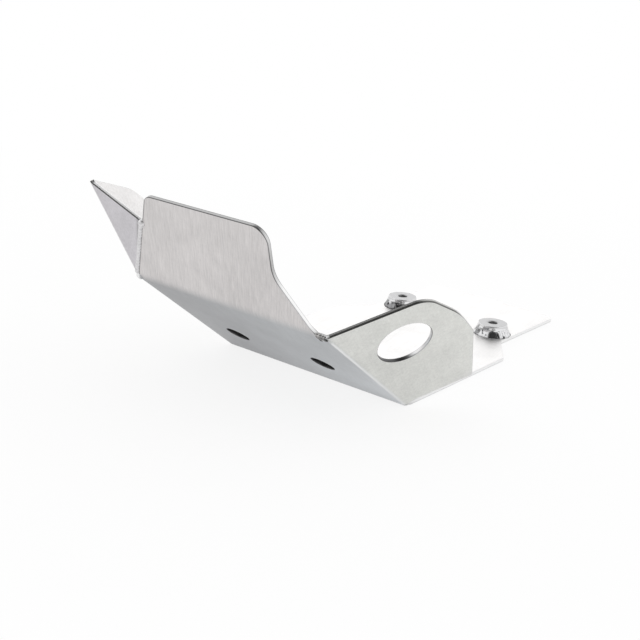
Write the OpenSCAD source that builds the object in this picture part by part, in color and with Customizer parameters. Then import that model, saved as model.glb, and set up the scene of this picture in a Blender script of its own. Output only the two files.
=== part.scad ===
// Motorcycle skid plate: one folded aluminium sheet with four bolt cups welded inside.
// Millimetres, +Z up, +Y towards the rear wheel. The origin is on the underside of the
// flat base, halfway between its front fold and its rear edge.

/* [Sheet] */
// thickness of the aluminium sheet
sheet_thickness = 3.5; // [3:0.1:4.5]
// outer radius of the tight folds
fold_radius = 6; // [5:0.1:8]
// outer radius of the soft fold between the slope and the front panel
soft_fold_radius = 26; // [12:1:34]

/* [Base] */
// width of the base between its long edges
base_width = 197; // [185:1:215]
// length of the base from the front fold to the rear edge
base_length = 310; // [290:1:340]
// length of the wide part of the base behind the front fold
wide_length = 160; // [145:1:175]
// length over which the base narrows to its rear tab
taper_length = 40; // [30:1:50]
// width of the rear tab
tab_width = 146; // [136:1:156]
// corner radius of the rear tab
tab_corner_radius = 9; // [4:0.5:14]
// corner radius where the base starts to narrow
taper_start_radius = 6; // [3:0.5:9]
// corner radius where the taper ends at the tab
taper_end_radius = 14; // [8:0.5:20]

/* [Slope and front panel] */
// angle of the slope above the base
slope_angle = 36.3; // [32:0.1:40]
// length of the slope between its two folds
slope_length = 145.7; // [135:0.1:155]
// angle of the front panel above the base
front_angle = 67.6; // [62:0.1:72]
// height of the front panel along its own face
front_height = 86; // [80:0.5:95]
// half width of the front panel at its top
front_half_width = 60.5; // [56:0.5:66]
// distance of the front panel's foot from the slope's right edge
front_foot_inset = 12; // [9:0.5:15]
// height of the waist in the front panel's right edge
waist_height = 43.9; // [38:0.1:50]
// distance of the waist inside the panel's top right corner
waist_inset = 3.5; // [1:0.5:6]
// radius of the waist
waist_radius = 24; // [12:1:30]
// corner radius of the front panel at its top left
panel_left_radius = 10; // [5:0.5:14]
// corner radius of the front panel at its top right
panel_right_radius = 13; // [6:0.5:18]
// width of the relief slot beside the front panel's foot
relief_width = 1.6; // [1:0.1:2.5]
// depth of the relief slot past the start of the soft fold
relief_depth = 3.3; // [2:0.1:5]

/* [Wings] */
// fold of each wing, away from the slope it grows from
wing_fold = 52; // [48:0.5:60]
// distance of a wing's outer edge from its fold, where it is widest
wing_height = 85.8; // [80:0.1:92]
// reach of a wing's low corner from the wing's fold
wing_low_reach = 58.9; // [52:0.1:64]
// distance of a wing's low corner behind the front fold, along the slope
wing_low_drop = 13.6; // [8:0.1:17]
// distance of a wing's rear corner past the front fold
wing_rear_rise = 45; // [38:0.5:52]
// inset of a wing's rear corner from its outer edge
wing_rear_inset = 1.2; // [0.5:0.1:3]
// corner radius of a wing at its rear
wing_rear_radius = 24; // [12:1:40]
// distance past the front fold at which the right wing is widest
wing_bow_rise = 75.3; // [68:0.1:82]
// radius of the right wing's outer edge there
wing_bow_radius = 80; // [40:1:100]
// inset of the right wing's front corner from its outer edge
wing_front_inset = 10.9; // [6:0.1:14]
// distance of the right wing's front corner below the slope's upper fold
wing_front_drop = 28; // [23:0.1:34]
// corner radius of the right wing at its front
wing_front_radius = 24; // [12:1:34]
// distance of the right wing's hole from the wing's fold
wing_hole_reach = 38.7; // [34:0.1:43]
// distance of the right wing's hole past the front fold
wing_hole_rise = 84.6; // [76:0.1:92]
// radius of the large hole in the right wing
wing_hole_radius = 22.6; // [19:0.1:25]
// reach of the left wing's tip past the upper fold, along the slope
tip_reach = 60.8; // [55:0.5:66]
// reach of the left wing's tip away from the wing's fold
tip_height = 61.5; // [57:0.5:66]
// bow of the left wing's edge beyond its height, beside the tip
tip_bow = 1.2; // [0.5:0.1:4]
// radius of that bow
tip_bow_radius = 50; // [30:1:60]
// height of the corner flap where it meets the front panel
flap_height = 59; // [54:0.5:64]

/* [Bolt cups] */
// radius of the recess that takes a bolt head
cup_recess_radius = 10.7; // [9.5:0.1:11.5]
// radius of the bolt hole in a cup
bolt_hole_radius = 4.5; // [3:0.1:5]
// height of a cup above the sheet
cup_height = 10.5; // [9:0.5:13]
// radius of a cup at its top
cup_top_radius = 14.5; // [14:0.1:16]
// radius of a cup at its foot
cup_foot_radius = 16.2; // [15.5:0.1:17.5]
// height at which a cup's side steepens
cup_waist_height = 4.7; // [3.5:0.1:6]
// inset of a cup's side at that height
cup_waist_inset = 1; // [0.5:0.1:1.5]
// height of the rounding at a cup's top edge
cup_edge = 1.2; // [0.5:0.1:2]
// thickness of a cup's top round its bolt hole
cup_web = 3.2; // [2.5:0.1:4]
// leg of the fillet weld around a cup
cup_weld_leg = 2.4; // [1.5:0.1:3]
// distance between the two rear cups
rear_cup_spacing = 108; // [98:1:112]
// distance of the rear cups behind the front fold
rear_cup_setback = 214; // [205:1:225]
// distance between the two front cups
front_cup_spacing = 92.8; // [80:0.2:100]
// distance of the front cups up the slope
front_cup_rise = 54.6; // [46:0.2:66]
// shift of the front cups towards the left edge
front_cup_shift = 4.9; // [0:0.1:6]

/* [Weld beads] */
// gap at the seam that the bead covers
seam_gap = 0.5; // [0.2:0.1:0.8]
// radius of the bead along the corner flap
bead_radius = 2.7; // [2:0.1:3.2]
// radius of the blob in which that bead ends at its top
bead_end_radius = 3.4; // [3.3:0.1:4]
// gap between the relief slot and the short bead beside it
relief_bead_gap = 0.5; // [0.2:0.1:1]

/* [Hidden] */
alloy = [0.78, 0.79, 0.80];
turned_alloy = [0.70, 0.71, 0.73];
weld_metal = [0.86, 0.86, 0.87];
t = sheet_thickness;
arc_step = 6;
round_facets = 120;
bead_facets = 24;
front_y = -base_length / 2;

// small laps by which a piece passes its neighbour, so that the two share a volume and no face
lap = 0.7;
thin_lap = 0.3;
// depth of the blocks that trim a face, past the sheet itself
spare = 0.3 * t;

// directions along each face, and the outward normal of each
slope_dir = [0, -cos(slope_angle), sin(slope_angle)];
slope_out = [0, -sin(slope_angle), -cos(slope_angle)];
front_dir = [0, -cos(front_angle), sin(front_angle)];
front_out = [0, -sin(front_angle), -cos(front_angle)];
wing_dir = cos(wing_fold) * [1, 0, 0] - sin(wing_fold) * slope_out;

// tangent length of each fold, from the sharp corner to where the flat face starts
low_tangent = fold_radius * tan(slope_angle / 2);
high_tangent = soft_fold_radius * tan((front_angle - slope_angle) / 2);
wing_tangent = fold_radius * tan(wing_fold / 2);
half_flat = base_width / 2 - wing_tangent;

// the front panel's right edge slants outwards from its waist to its foot
front_foot = base_width / 2 - front_foot_inset;

low_fold = [0, front_y, 0];
high_fold = low_fold + slope_length * slope_dir;
right_corner = low_fold + [base_width / 2, 0, 0];

// the left wing is the right one mirrored, so its faces take a mirrored direction
left_wing_dir = [-wing_dir[0], wing_dir[1], wing_dir[2]];
left_corner = low_fold - [base_width / 2, 0, 0];
flap_foot = left_corner + slope_length * slope_dir;
wing_tip = flap_foot + tip_height * left_wing_dir + tip_reach * slope_dir;
front_lean = (base_width / 2 - front_half_width) / (front_height - 2);
flap_top = high_fold + [-base_width / 2 + front_lean * flap_height, 0, 0] + flap_height * front_dir;
flap_run = unit(wing_tip - flap_foot);
flap_across = unit(flap_top - flap_foot - ((flap_top - flap_foot) * flap_run) * flap_run);
flap_out = cross(flap_across, flap_run);
left_wing_out = cross(slope_dir, left_wing_dir);
flap_fold = acos(flap_out * left_wing_out);
flap_radius = t + 1;
flap_tangent = flap_radius * tan(flap_fold / 2);

// the pit where the slope, the left wing and the front panel meet is filled by a ball of weld
pit_depth = 3.4;
pit_radius = 4.3;

// each wing is drawn in its own plane: [distance from the fold, distance up the slope]
wing_low_kink = [8, 3.5];
wing_low_corner = [wing_low_reach, -wing_low_drop];
wing_low_corner_radius = 2.5;
wing_rear_corner = [wing_height - wing_rear_inset, wing_rear_rise];
right_wing_bow = [wing_height, wing_bow_rise];
wing_front_corner = [wing_height - wing_front_inset, slope_length - wing_front_drop];
left_wing_bow = [wing_height + tip_bow, slope_length + 3];
hole_centre = [wing_hole_reach, wing_hole_rise];
hole_start = 200;

function unit(v) = v / norm(v);
function steps(angle) = max(2, ceil(abs(angle) / arc_step));
function arc(centre, radius, from, to) =
    [for (i = [0 : steps(to - from)])
        let (a = from + (to - from) * i / steps(to - from))
        centre + radius * [cos(a), sin(a)]];
// points of a corner rounded between the points before and after it
function rounded(before, corner, after, radius) =
    let (a = unit(before - corner), b = unit(after - corner),
         half = acos(a * b) / 2,
         centre = corner + unit(a + b) * radius / sin(half),
         start = corner + a * radius / tan(half) - centre,
         end = corner + b * radius / tan(half) - centre,
         from = atan2(start[1], start[0]),
         turn = atan2(start[0] * end[1] - start[1] * end[0], start * end))
    arc(centre, radius, from, from + turn);

// a frame whose z axis is the outward normal of the face drawn in it
module place(origin, x_dir, y_dir) {
    z_dir = cross(x_dir, y_dir);
    multmatrix([[x_dir[0], y_dir[0], z_dir[0], origin[0]],
                [x_dir[1], y_dir[1], z_dir[1], origin[1]],
                [x_dir[2], y_dir[2], z_dir[2], origin[2]],
                [0, 0, 0, 1]])
        children();
}

// a fold and the flat behind it, drawn as one side view and run along the fold; a thinner root
// reaches back into the flat in front, so that the two pieces join without shared faces
module folded_strip(edge, normal_a, normal_b, radius, length, root, flat, start) {
    turn = acos(normal_a * normal_b);
    across = unit(normal_b - (normal_a * normal_b) * normal_a);
    axis = edge - radius / (1 + normal_a * normal_b) * (normal_a + normal_b);
    end = [cos(turn), sin(turn)];
    run = flat * [-sin(turn), cos(turn)];
    skin = 0.15 * t;
    place(axis, normal_a, across) linear_extrude(length)
        polygon(concat([[radius - skin, -root]], arc([0, 0], radius, start, turn), [radius * end + run],
                       [(radius - t) * end + run], arc([0, 0], radius - t, turn, start),
                       [[radius - t + skin, -root]]));
}

// everything above the base and behind the slope, moved inwards by the given depth
module along_base(depth) {
    centre = [front_y + low_tangent, fold_radius];
    end = centre + (fold_radius - depth) * [slope_out[1], slope_out[2]]
          + (2 * slope_length + 3 * depth) * [slope_dir[1], slope_dir[2]];
    rear = base_length + depth;
    width = 3 * base_width + 6 * depth;
    translate([-width / 2, 0, 0]) rotate([90, 0, 90]) linear_extrude(width)
        polygon(concat([[rear, depth]],
                       arc(centre, fold_radius - depth, -90, -90 - slope_angle),
                       [end, [rear, end[1]]]));
}

// everything behind the slope and between the wings, moved inwards by the given depth
module along_slope(depth) {
    side = concat(arc([half_flat, fold_radius], fold_radius - depth, -90, -90 + wing_fold),
                  [[half_flat, fold_radius] + (fold_radius - depth) * [sin(wing_fold), -cos(wing_fold)]
                   + (2 * slope_length + 3 * depth) * [cos(wing_fold), sin(wing_fold)]]);
    mirrored = [for (i = [len(side) - 1 : -1 : 0]) [-side[i][0], side[i][1]]];
    run = 2 * base_length + 6 * depth;
    place(low_fold - run / 2 * slope_dir, [1, 0, 0], -slope_out)
        linear_extrude(run) polygon(concat(side, mirrored));
}

// plan of the base: wide part, tapers and rear tab
module base_outline() {
    wide = base_width / 2;
    tab = tab_width / 2;
    start = front_y + low_tangent;
    taper = front_y + wide_length;
    narrow = taper + taper_length;
    rear = base_length / 2;
    right_side = concat(
        [[wide - wing_tangent, start], [wide, start + 1.5 * wing_tangent]],
        rounded([wide, start], [wide, taper], [tab, narrow], taper_start_radius),
        rounded([wide, taper], [tab, narrow], [tab, rear], taper_end_radius),
        rounded([tab, narrow], [tab, rear], [0, rear], tab_corner_radius));
    left_side = [for (i = [len(right_side) - 1 : -1 : 0]) [-right_side[i][0], right_side[i][1]]];
    polygon(concat(right_side, left_side));
}

// slope seen square on, with a tongue beside the relief slot and one under the left wing's foot
module slope_outline() {
    half = base_width / 2;
    end = slope_length - high_tangent + lap;
    slot = front_foot + relief_width;
    slot_end = end - relief_depth;
    left_foot = 2 - half_flat;
    polygon([[-half, -low_tangent], [half, -low_tangent], [half, slope_length],
             [slot, slope_length], [slot, slot_end], [front_foot - lap, slot_end],
             [front_foot - lap, end], [left_foot, end], [left_foot, slope_length - thin_lap],
             [-half, slope_length - thin_lap]]);
}

// front panel seen square on, as [x, height above the upper fold]
module front_outline() {
    left_foot = [-base_width / 2 + front_lean, 1];
    top_left = [-front_half_width, front_height];
    top_right = [front_half_width + 1, front_height];
    waist = [front_half_width - waist_inset, waist_height];
    right_foot = [front_foot, 0];
    below = -4 * high_tangent;
    polygon(concat([left_foot],
                   rounded(left_foot, top_left, top_right, panel_left_radius),
                   rounded(top_left, top_right, waist, panel_right_radius),
                   rounded(top_right, waist, right_foot, waist_radius),
                   [right_foot, [front_foot, below], [thin_lap - half_flat, below],
                    [thin_lap - half_flat, 0.9]]));
}

// the wings are drawn from their fold, as [distance from the fold, distance up the slope]
module right_wing_outline() {
    high_foot = [3, slope_length + thin_lap];
    polygon(concat([[-lap, low_tangent + thin_lap], wing_low_kink],
                   rounded(wing_low_kink, wing_low_corner, wing_rear_corner, wing_low_corner_radius),
                   rounded(wing_low_corner, wing_rear_corner, right_wing_bow, wing_rear_radius),
                   rounded(wing_rear_corner, right_wing_bow, wing_front_corner, wing_bow_radius),
                   rounded(right_wing_bow, wing_front_corner, high_foot, wing_front_radius),
                   [high_foot, [-lap, slope_length + thin_lap]]));
}

// the inset draws the edge along the corner flap back from its fold
module left_wing_outline(inset) {
    tip = [tip_height, slope_length + tip_reach];
    foot = [0, slope_length];
    back = inset * unit([tip_reach, -tip_height]);
    polygon(concat([[-lap, low_tangent + thin_lap], wing_low_kink],
                   rounded(wing_low_kink, wing_low_corner, wing_rear_corner, wing_low_corner_radius),
                   rounded(wing_low_corner, wing_rear_corner, left_wing_bow, wing_rear_radius),
                   rounded(wing_rear_corner, left_wing_bow, tip, tip_bow_radius),
                   [tip + back, foot + back, [-lap, slope_length - back[0]]]));
}

// the triangular flap that closes the corner between the left wing and the front panel
module flap_outline() {
    run = norm(wing_tip - flap_foot);
    top = [(flap_top - flap_foot) * flap_across, (flap_top - flap_foot) * flap_run];
    // the edge at the seam is drawn back a little, and the bead covers the gap
    back = seam_gap * unit([-top[1], top[0]]);
    polygon([[0, 0], back, top + back, [0, run]]);
}

// a solid block under an outline, down to where the folds next to it end
module trim_block() {
    depth = fold_radius + t;
    translate([0, 0, -depth]) linear_extrude(depth + 1) children();
}

// base, slope and both wings, folded with one shell so that the corners close
module lower_shell() {
    intersection() {
        difference() {
            intersection() {
                along_base(0);
                along_slope(0);
            }
            intersection() {
                along_base(t);
                along_slope(t);
            }
        }
        union() {
            translate([0, 0, -1]) linear_extrude(fold_radius + t) base_outline();
            place(low_fold, [1, 0, 0], slope_dir) trim_block() slope_outline();
            place(right_corner, wing_dir, slope_dir)
                translate([0, 0, -t - spare]) linear_extrude(2 * t) right_wing_outline();
            mirror([1, 0, 0]) place(right_corner, wing_dir, slope_dir)
                translate([0, 0, -t - spare]) linear_extrude(2 * t)
                    left_wing_outline(flap_tangent - lap);
        }
    }
}

// the front panel with the soft fold at its foot
module front_panel() {
    intersection() {
        folded_strip(high_fold + [base_width / 2, 0, 0], slope_out, front_out, soft_fold_radius,
                     base_width, 8, 1.1 * front_height, 4);
        place(high_fold, [1, 0, 0], front_dir)
            translate([0, 0, -2 * soft_fold_radius]) linear_extrude(3 * soft_fold_radius)
                front_outline();
    }
}

// the corner flap with the tight fold that joins it to the left wing
module corner_flap() {
    intersection() {
        folded_strip(flap_foot, left_wing_out, flap_out, flap_radius,
                     1.2 * norm(wing_tip - flap_foot), 6, 1.2 * flap_height, 12);
        union() {
            place(flap_foot, flap_across, flap_run) trim_block() flap_outline();
            mirror([1, 0, 0]) place(right_corner, wing_dir, slope_dir)
                trim_block() left_wing_outline(0);
        }
    }
}

// recess holes that open into the bolt cups
module recess(depth) {
    translate([0, 0, -depth]) cylinder(h = 2 * depth, r = cup_recess_radius, $fn = round_facets);
}

module folded_sheet() {
    difference() {
        union() {
            lower_shell();
            front_panel();
            corner_flap();
            translate(flap_foot - pit_depth * unit(slope_out + left_wing_out + front_out + flap_out))
                sphere(pit_radius, $fn = round_facets);
        }
        place(right_corner, wing_dir, slope_dir)
            translate([hole_centre[0], hole_centre[1], -2 * t])
                rotate([0, 0, hole_start])
                    cylinder(h = 3 * t, r = wing_hole_radius, $fn = round_facets);
        for (side = [-1, 1]) {
            translate(rear_cup_place(side)) recess(2 * t);
            on_slope(side) recess(2 * t);
        }
    }
}

function rear_cup_place(side) = [side * rear_cup_spacing / 2, front_y + rear_cup_setback, t];

// a frame on the inner face of the slope, at one of the front cups
module on_slope(side) {
    place(low_fold + front_cup_rise * slope_dir - t * slope_out
          + [side * front_cup_spacing / 2 - front_cup_shift, 0, 0],
          [1, 0, 0], -slope_dir)
        children();
}

// turned cup with a deep recess below and a bolt hole through its top
module cup() {
    floor_height = cup_height - cup_web;
    rotate_extrude($fn = round_facets) polygon([
        [cup_recess_radius, 0], [cup_foot_radius, 0],
        [cup_foot_radius - cup_waist_inset, cup_waist_height],
        [cup_top_radius, cup_height - cup_edge], [cup_top_radius - 0.4 * cup_edge, cup_height],
        [bolt_hole_radius, cup_height], [bolt_hole_radius, floor_height],
        [cup_recess_radius, floor_height]]);
}

// fillet weld with a hollow face, between a cup's foot and the sheet
module cup_weld() {
    lean = cup_waist_inset * cup_weld_leg / cup_waist_height;
    hollow = 0.33 * cup_weld_leg;
    rotate_extrude($fn = round_facets) polygon([
        [cup_foot_radius, 0], [cup_foot_radius + cup_weld_leg, 0],
        [cup_foot_radius + hollow, hollow], [cup_foot_radius - lean, cup_weld_leg]]);
}

// bead along the corner where the flap meets the front panel, outside both sheets
module flap_bead() {
    run = unit(flap_top - flap_foot);
    start = flap_foot + 1.1 * high_tangent * run;
    side = unit(cross(run, [1, 0, 0]));
    reach = 2 * flap_height;
    difference() {
        union() {
            place(start, side, cross(run, side))
                cylinder(h = norm(flap_top - start), r = bead_radius, $fn = bead_facets);
            translate(flap_top) sphere(bead_end_radius, $fn = bead_facets);
        }
        intersection() {
            place(flap_top, [1, 0, 0], front_dir)
                translate([-reach, -reach, -reach]) cube([2 * reach, 2 * reach, reach]);
            place(flap_top, flap_across, flap_run)
                translate([-reach, -reach, -reach]) cube([2 * reach, 2 * reach, reach]);
        }
    }
}

// half-round bead left on the cut edge of the slope, in the relief notch
module relief_bead() {
    start = front_foot + relief_width + relief_bead_gap;
    length = half_flat - spare - start;
    radius = 0.45 * t;
    place(high_fold + [start, 0, 0] - t / 2 * slope_out, slope_dir, slope_out)
        intersection() {
            cylinder(h = length, r = radius, $fn = bead_facets);
            translate([0, -t, 0]) cube([t, 2 * t, length]);
        }
}

module folded_plate() color(alloy) folded_sheet();
module front_left_cup() color(turned_alloy) on_slope(-1) cup();
module front_right_cup() color(turned_alloy) on_slope(1) cup();
module rear_left_cup() color(turned_alloy) translate(rear_cup_place(-1)) cup();
module rear_right_cup() color(turned_alloy) translate(rear_cup_place(1)) cup();
module front_left_cup_weld() color(weld_metal) on_slope(-1) cup_weld();
module front_right_cup_weld() color(weld_metal) on_slope(1) cup_weld();
module rear_left_cup_weld() color(weld_metal) translate(rear_cup_place(-1)) cup_weld();
module rear_right_cup_weld() color(weld_metal) translate(rear_cup_place(1)) cup_weld();
module flap_weld() color(weld_metal) flap_bead();
module relief_weld() color(weld_metal) relief_bead();

folded_plate();
front_left_cup();
front_right_cup();
rear_left_cup();
rear_right_cup();
front_left_cup_weld();
front_right_cup_weld();
rear_left_cup_weld();
rear_right_cup_weld();
flap_weld();
relief_weld();
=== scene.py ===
import math

import bpy
import numpy as np
from mathutils import Matrix, Vector
from mathutils.geometry import delaunay_2d_cdt


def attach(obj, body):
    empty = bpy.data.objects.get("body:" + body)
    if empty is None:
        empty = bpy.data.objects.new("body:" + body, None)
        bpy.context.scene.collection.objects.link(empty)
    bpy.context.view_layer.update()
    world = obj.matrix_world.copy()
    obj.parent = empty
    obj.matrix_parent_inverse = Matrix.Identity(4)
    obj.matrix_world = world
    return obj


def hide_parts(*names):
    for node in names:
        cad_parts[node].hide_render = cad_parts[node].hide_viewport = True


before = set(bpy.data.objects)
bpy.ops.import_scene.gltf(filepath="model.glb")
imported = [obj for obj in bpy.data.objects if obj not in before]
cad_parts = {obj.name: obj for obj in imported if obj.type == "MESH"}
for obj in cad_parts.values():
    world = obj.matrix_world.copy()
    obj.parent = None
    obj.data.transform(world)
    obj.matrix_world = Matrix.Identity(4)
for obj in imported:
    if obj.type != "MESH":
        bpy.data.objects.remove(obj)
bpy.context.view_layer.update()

# The camera, floor and light.
# A studio sweep: pale matt floor, broad soft lamps, and a long lens set low in front of
# the plate's right corner.
MM = 0.001
camera_turn, camera_rise, camera_roll = (math.radians(a) for a in (36.10, 18.83, 4.69))
camera_reach = 1020.5 * MM
aim_shift = Vector((18.5, 42.0, 0)) * MM
plate_front = -155.0 * MM
# the lens in pixels of the frame: the frame's width, the focal length and the middle of the view
picture, focal, view_middle, film = 640, 1168.8, (334.9, 325.3), 36

back = Vector((math.sin(camera_turn) * math.cos(camera_rise),
               -math.cos(camera_turn) * math.cos(camera_rise), math.sin(camera_rise)))
level = Vector((math.cos(camera_turn), math.sin(camera_turn), 0))
upward = back.cross(level)
right = math.cos(camera_roll) * level + math.sin(camera_roll) * upward
up = math.cos(camera_roll) * upward - math.sin(camera_roll) * level
lens = bpy.data.cameras.new("studio_camera")
lens.lens = film * focal / picture
lens.sensor_width = film
lens.shift_x = (picture / 2 - view_middle[0]) / picture
lens.shift_y = (view_middle[1] - picture / 2) / picture
lens.clip_start, lens.clip_end = 0.05, 30
camera = bpy.data.objects.new("studio_camera", lens)
bpy.context.collection.objects.link(camera)
place = Vector((0, plate_front, 0)) + aim_shift.x * right + aim_shift.y * up + camera_reach * back
camera.matrix_world = Matrix.Translation(place) @ Matrix((right, up, back)).transposed().to_4x4()
bpy.context.scene.camera = camera
bpy.context.scene.view_settings.view_transform = "Standard"


class Wire:
    """One socket of a finish's node tree. Sums and products of wires add Math nodes."""

    def __init__(self, tree, socket):
        self.tree, self.socket = tree, socket

    def feed(self, value, socket):
        """Links a wire to a socket, or sets a plain value there."""
        if isinstance(value, Wire):
            self.tree.links.new(value.socket, socket)
        else:
            socket.default_value = value

    def add(self, kind, settings=None, values=None, out=0):
        """Adds a node: its settings first, then the values or wires of its sockets."""
        node = self.tree.nodes.new(kind)
        for name, value in (settings or {}).items():
            setattr(node, name, value)
        for name, value in (values or {}).items():
            self.feed(value, node.inputs[name])
        return Wire(self.tree, node.outputs[out]) if len(node.outputs) else node

    def maths(self, operation, *values):
        """Works out one Math node from numbers or wires."""
        return self.add("ShaderNodeMath", {"operation": operation}, dict(enumerate(values)))

    def __add__(self, other):
        return self.maths("ADD", self, other)

    def __radd__(self, other):
        return self.maths("ADD", other, self)

    def __sub__(self, other):
        return self.maths("SUBTRACT", self, other)

    def __rsub__(self, other):
        return self.maths("SUBTRACT", other, self)

    def __mul__(self, other):
        return self.maths("MULTIPLY", self, other)

    def __rmul__(self, other):
        return self.maths("MULTIPLY", other, self)

    def mix(self, amount, first, second):
        """Blends two colours by an amount."""
        return self.add("ShaderNodeMix", {"data_type": "RGBA"},
                        {"Factor": amount, 6: first, 7: second}, out=2)

    def band(self, low, high, to_low=0.0, to_high=1.0):
        """Smoothly carries the range low to high onto to_low to to_high."""
        return self.add("ShaderNodeMapRange", {"interpolation_type": "SMOOTHSTEP"},
                        {"Value": self, "From Min": low, "From Max": high,
                         "To Min": to_low, "To Max": to_high})


def new_finish(name):
    """A material and the wire from which its nodes are added."""
    material = bpy.data.materials.new(name)
    material.use_nodes = True
    material.node_tree.nodes.clear()
    return material, Wire(material.node_tree, None)


def grey(level):
    """A colour whose red, green and blue are all the given level."""
    return level, level, level, 1


# the floor: for camera rays it fades into a white glow away from the plate and keeps some of its shadow
# near it; glossy rays see it mixed with a glow, and both are painted darker towards the front, a
# painted shade that sets how bright the metal's reflections are
floor_finish, f = new_finish("studio_floor")
spot = f.add("ShaderNodeTexCoord", out="Object")
distance = f.add("ShaderNodeVectorMath", {"operation": "LENGTH"}, {0: spot}, out="Value")
rearward = f.add("ShaderNodeSeparateXYZ", values={0: spot}, out="Y")
rays = f.add("ShaderNodeLightPath", out="Is Camera Ray")
mirrored = f.add("ShaderNodeLightPath", out="Is Glossy Ray")
toward_rear = rearward.band(-0.15, 0.9)
floor_painted_shade = f.mix(toward_rear, grey(0.74), grey(0.95))
matt = f.add("ShaderNodeBsdfDiffuse",
             values={"Color": f.mix(mirrored, grey(0.95), floor_painted_shade)})
glow = f.mix(mirrored, grey(1), f.mix(toward_rear, grey(0.80), grey(0.98)))
white = f.add("ShaderNodeEmission", values={"Color": glow, "Strength": 1.0})
faded = distance.band(0.36, 0.95, 0.82, 1.0) * rays + 0.6 * mirrored
surface = f.add("ShaderNodeMixShader", values={0: faded, 1: matt, 2: white})
f.add("ShaderNodeOutputMaterial", values={"Surface": surface})
reach = 12.0
floor_mesh = bpy.data.meshes.new("studio_floor")
floor_mesh.from_pydata([(x, y, -0.0002) for x, y in
                        ((-reach, -reach), (reach, -reach), (reach, reach), (-reach, reach))],
                       [], [(0, 1, 2, 3)])
floor = bpy.data.objects.new("studio_floor", floor_mesh)
floor_mesh.materials.append(floor_finish)
bpy.context.collection.objects.link(floor)

# the room is white, but for what bare metal mirrors: a dim ceiling, and above the camera a dark
# opening
world = bpy.data.worlds.new("studio_air")
bpy.context.scene.world = world
world.use_nodes = True
world.node_tree.nodes.clear()
f = Wire(world.node_tree, None)
mirrored = f.add("ShaderNodeLightPath", out="Is Glossy Ray")
way = f.add("ShaderNodeTexCoord", out="Generated")
height = f.add("ShaderNodeSeparateXYZ", values={0: way}, out="Z")
opening_way = (0.437, -0.602, 0.669)
toward = f.add("ShaderNodeVectorMath", {"operation": "DOT_PRODUCT"}, {0: way, 1: opening_way},
               out="Value")
dimming = 1 - (1 - height.band(0.84, 0.95, 0.0, 0.9)) * (1 - toward.band(0.80, 0.90, 0.0, 0.96))
dimming = dimming * mirrored
air = f.add("ShaderNodeBackground", values={"Color": grey(1), "Strength": 1.0 - dimming})
f.add("ShaderNodeOutputWorld", values={"Surface": air})


def soft_lamp(name, spot, aim, size, watts):
    """Hangs a square soft box at a spot and turns it towards its aim."""
    lamp = bpy.data.lights.new(name, "AREA")
    lamp.shape, lamp.size, lamp.energy = "SQUARE", size, watts
    box = bpy.data.objects.new(name, lamp)
    box.location = spot
    box.rotation_euler = (Vector(aim) - Vector(spot)).to_track_quat("-Z", "Y").to_euler()
    bpy.context.collection.objects.link(box)


soft_lamp("rear_box", (-1.3, 1.9, 0.95), (0, 0.05, 0.0), 1.5, 3)

# The folded plate.
# One blank of 3.5 mm aluminium sheet, cut with its holes in the flat and folded on a brake:
# base, slope and front panel in a row, a wing at each side of the slope, and a corner flap
# at the end of the left wing that is welded to the front panel.
# distances on the flat blank in millimetres, across from the middle and along from the front fold
base_half, panel_half, slope_run, panel_top = 98.5, 60.5, 145.7, 231.7
tip_out, tip_run = 61.5, 206.5
thickness = 3.5 * MM
half_width = base_half * MM
slope_angle, front_angle, wing_fold = (math.radians(a) for a in (36.3, 67.6, 52.0))
slope_length = slope_run * MM
fold_radius, soft_radius, flap_radius = 6.0 * MM, 26.0 * MM, 4.5 * MM
edge_round = 0.5 * MM
relief_middle, notch_reach = 87.3 * MM, 4.0 * MM
seam_bearing = math.radians(75)
low_tangent = fold_radius * math.tan(slope_angle / 2)
soft_tangent = soft_radius * math.tan((front_angle - slope_angle) / 2)
wing_tangent = fold_radius * math.tan(wing_fold / 2)


def fold(across, angle, radius, depth):
    """Bends a strip at across = 0: straight, then an arc, then straight on at the angle.

    Gives the distance along the first face and the height above its outer side, for a point
    that lies the given depth inside the sheet. Distances are measured on the outer faces,
    which meet at across = 0 when the arc is left out.
    """
    reach = radius * math.tan(angle / 2)
    turn = np.clip((across + reach) / (2 * reach), 0, 1) * angle
    before = np.minimum(across + reach, 0) - reach
    after = np.maximum(across - reach, 0)
    along = before + (radius - depth) * np.sin(turn) + after * math.cos(angle)
    height = radius - (radius - depth) * np.cos(turn) + after * math.sin(angle)
    return along, height


def from_slope(side, run, height):
    """Carries (sideways, up the slope, above its underside) into the part's frame."""
    s, c = math.sin(slope_angle), math.cos(slope_angle)
    return np.stack([side, plate_front - run * c + height * s, run * s + height * c], 1)


def fold_strip(x, run, depth):
    """Base, slope and front panel: the run is negative on the base."""
    along, height = fold(run, slope_angle, fold_radius, depth)
    low = np.stack([x, plate_front - along, height], 1)
    along, height = fold(run - slope_length, front_angle - slope_angle, soft_radius, depth)
    high = from_slope(x, slope_length + along, height)
    return np.where((run < slope_length / 2)[:, None], low, high)


def fold_wing(out, run, depth):
    """A wing, by its distance out from the fold, for the right side."""
    along, height = fold(out, wing_fold, fold_radius, depth)
    far = out > wing_tangent
    along = np.where(far, out * math.cos(wing_fold) - depth * math.sin(wing_fold), along)
    height = np.where(far, out * math.sin(wing_fold) + depth * math.cos(wing_fold), height)
    return from_slope(half_width + along, run, height)


# the corner flap, from the foot of its fold to the wing's tip and to the weld's top
tip = np.array([tip_out, tip_run]) * MM
foot = np.array([0, slope_length])
flap_height = 59.0 * MM
leaning_height = 84
front_lean = (base_half - panel_half) / leaning_height


def unit(v):
    """The vector divided by its length."""
    return v / np.linalg.norm(v)


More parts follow.
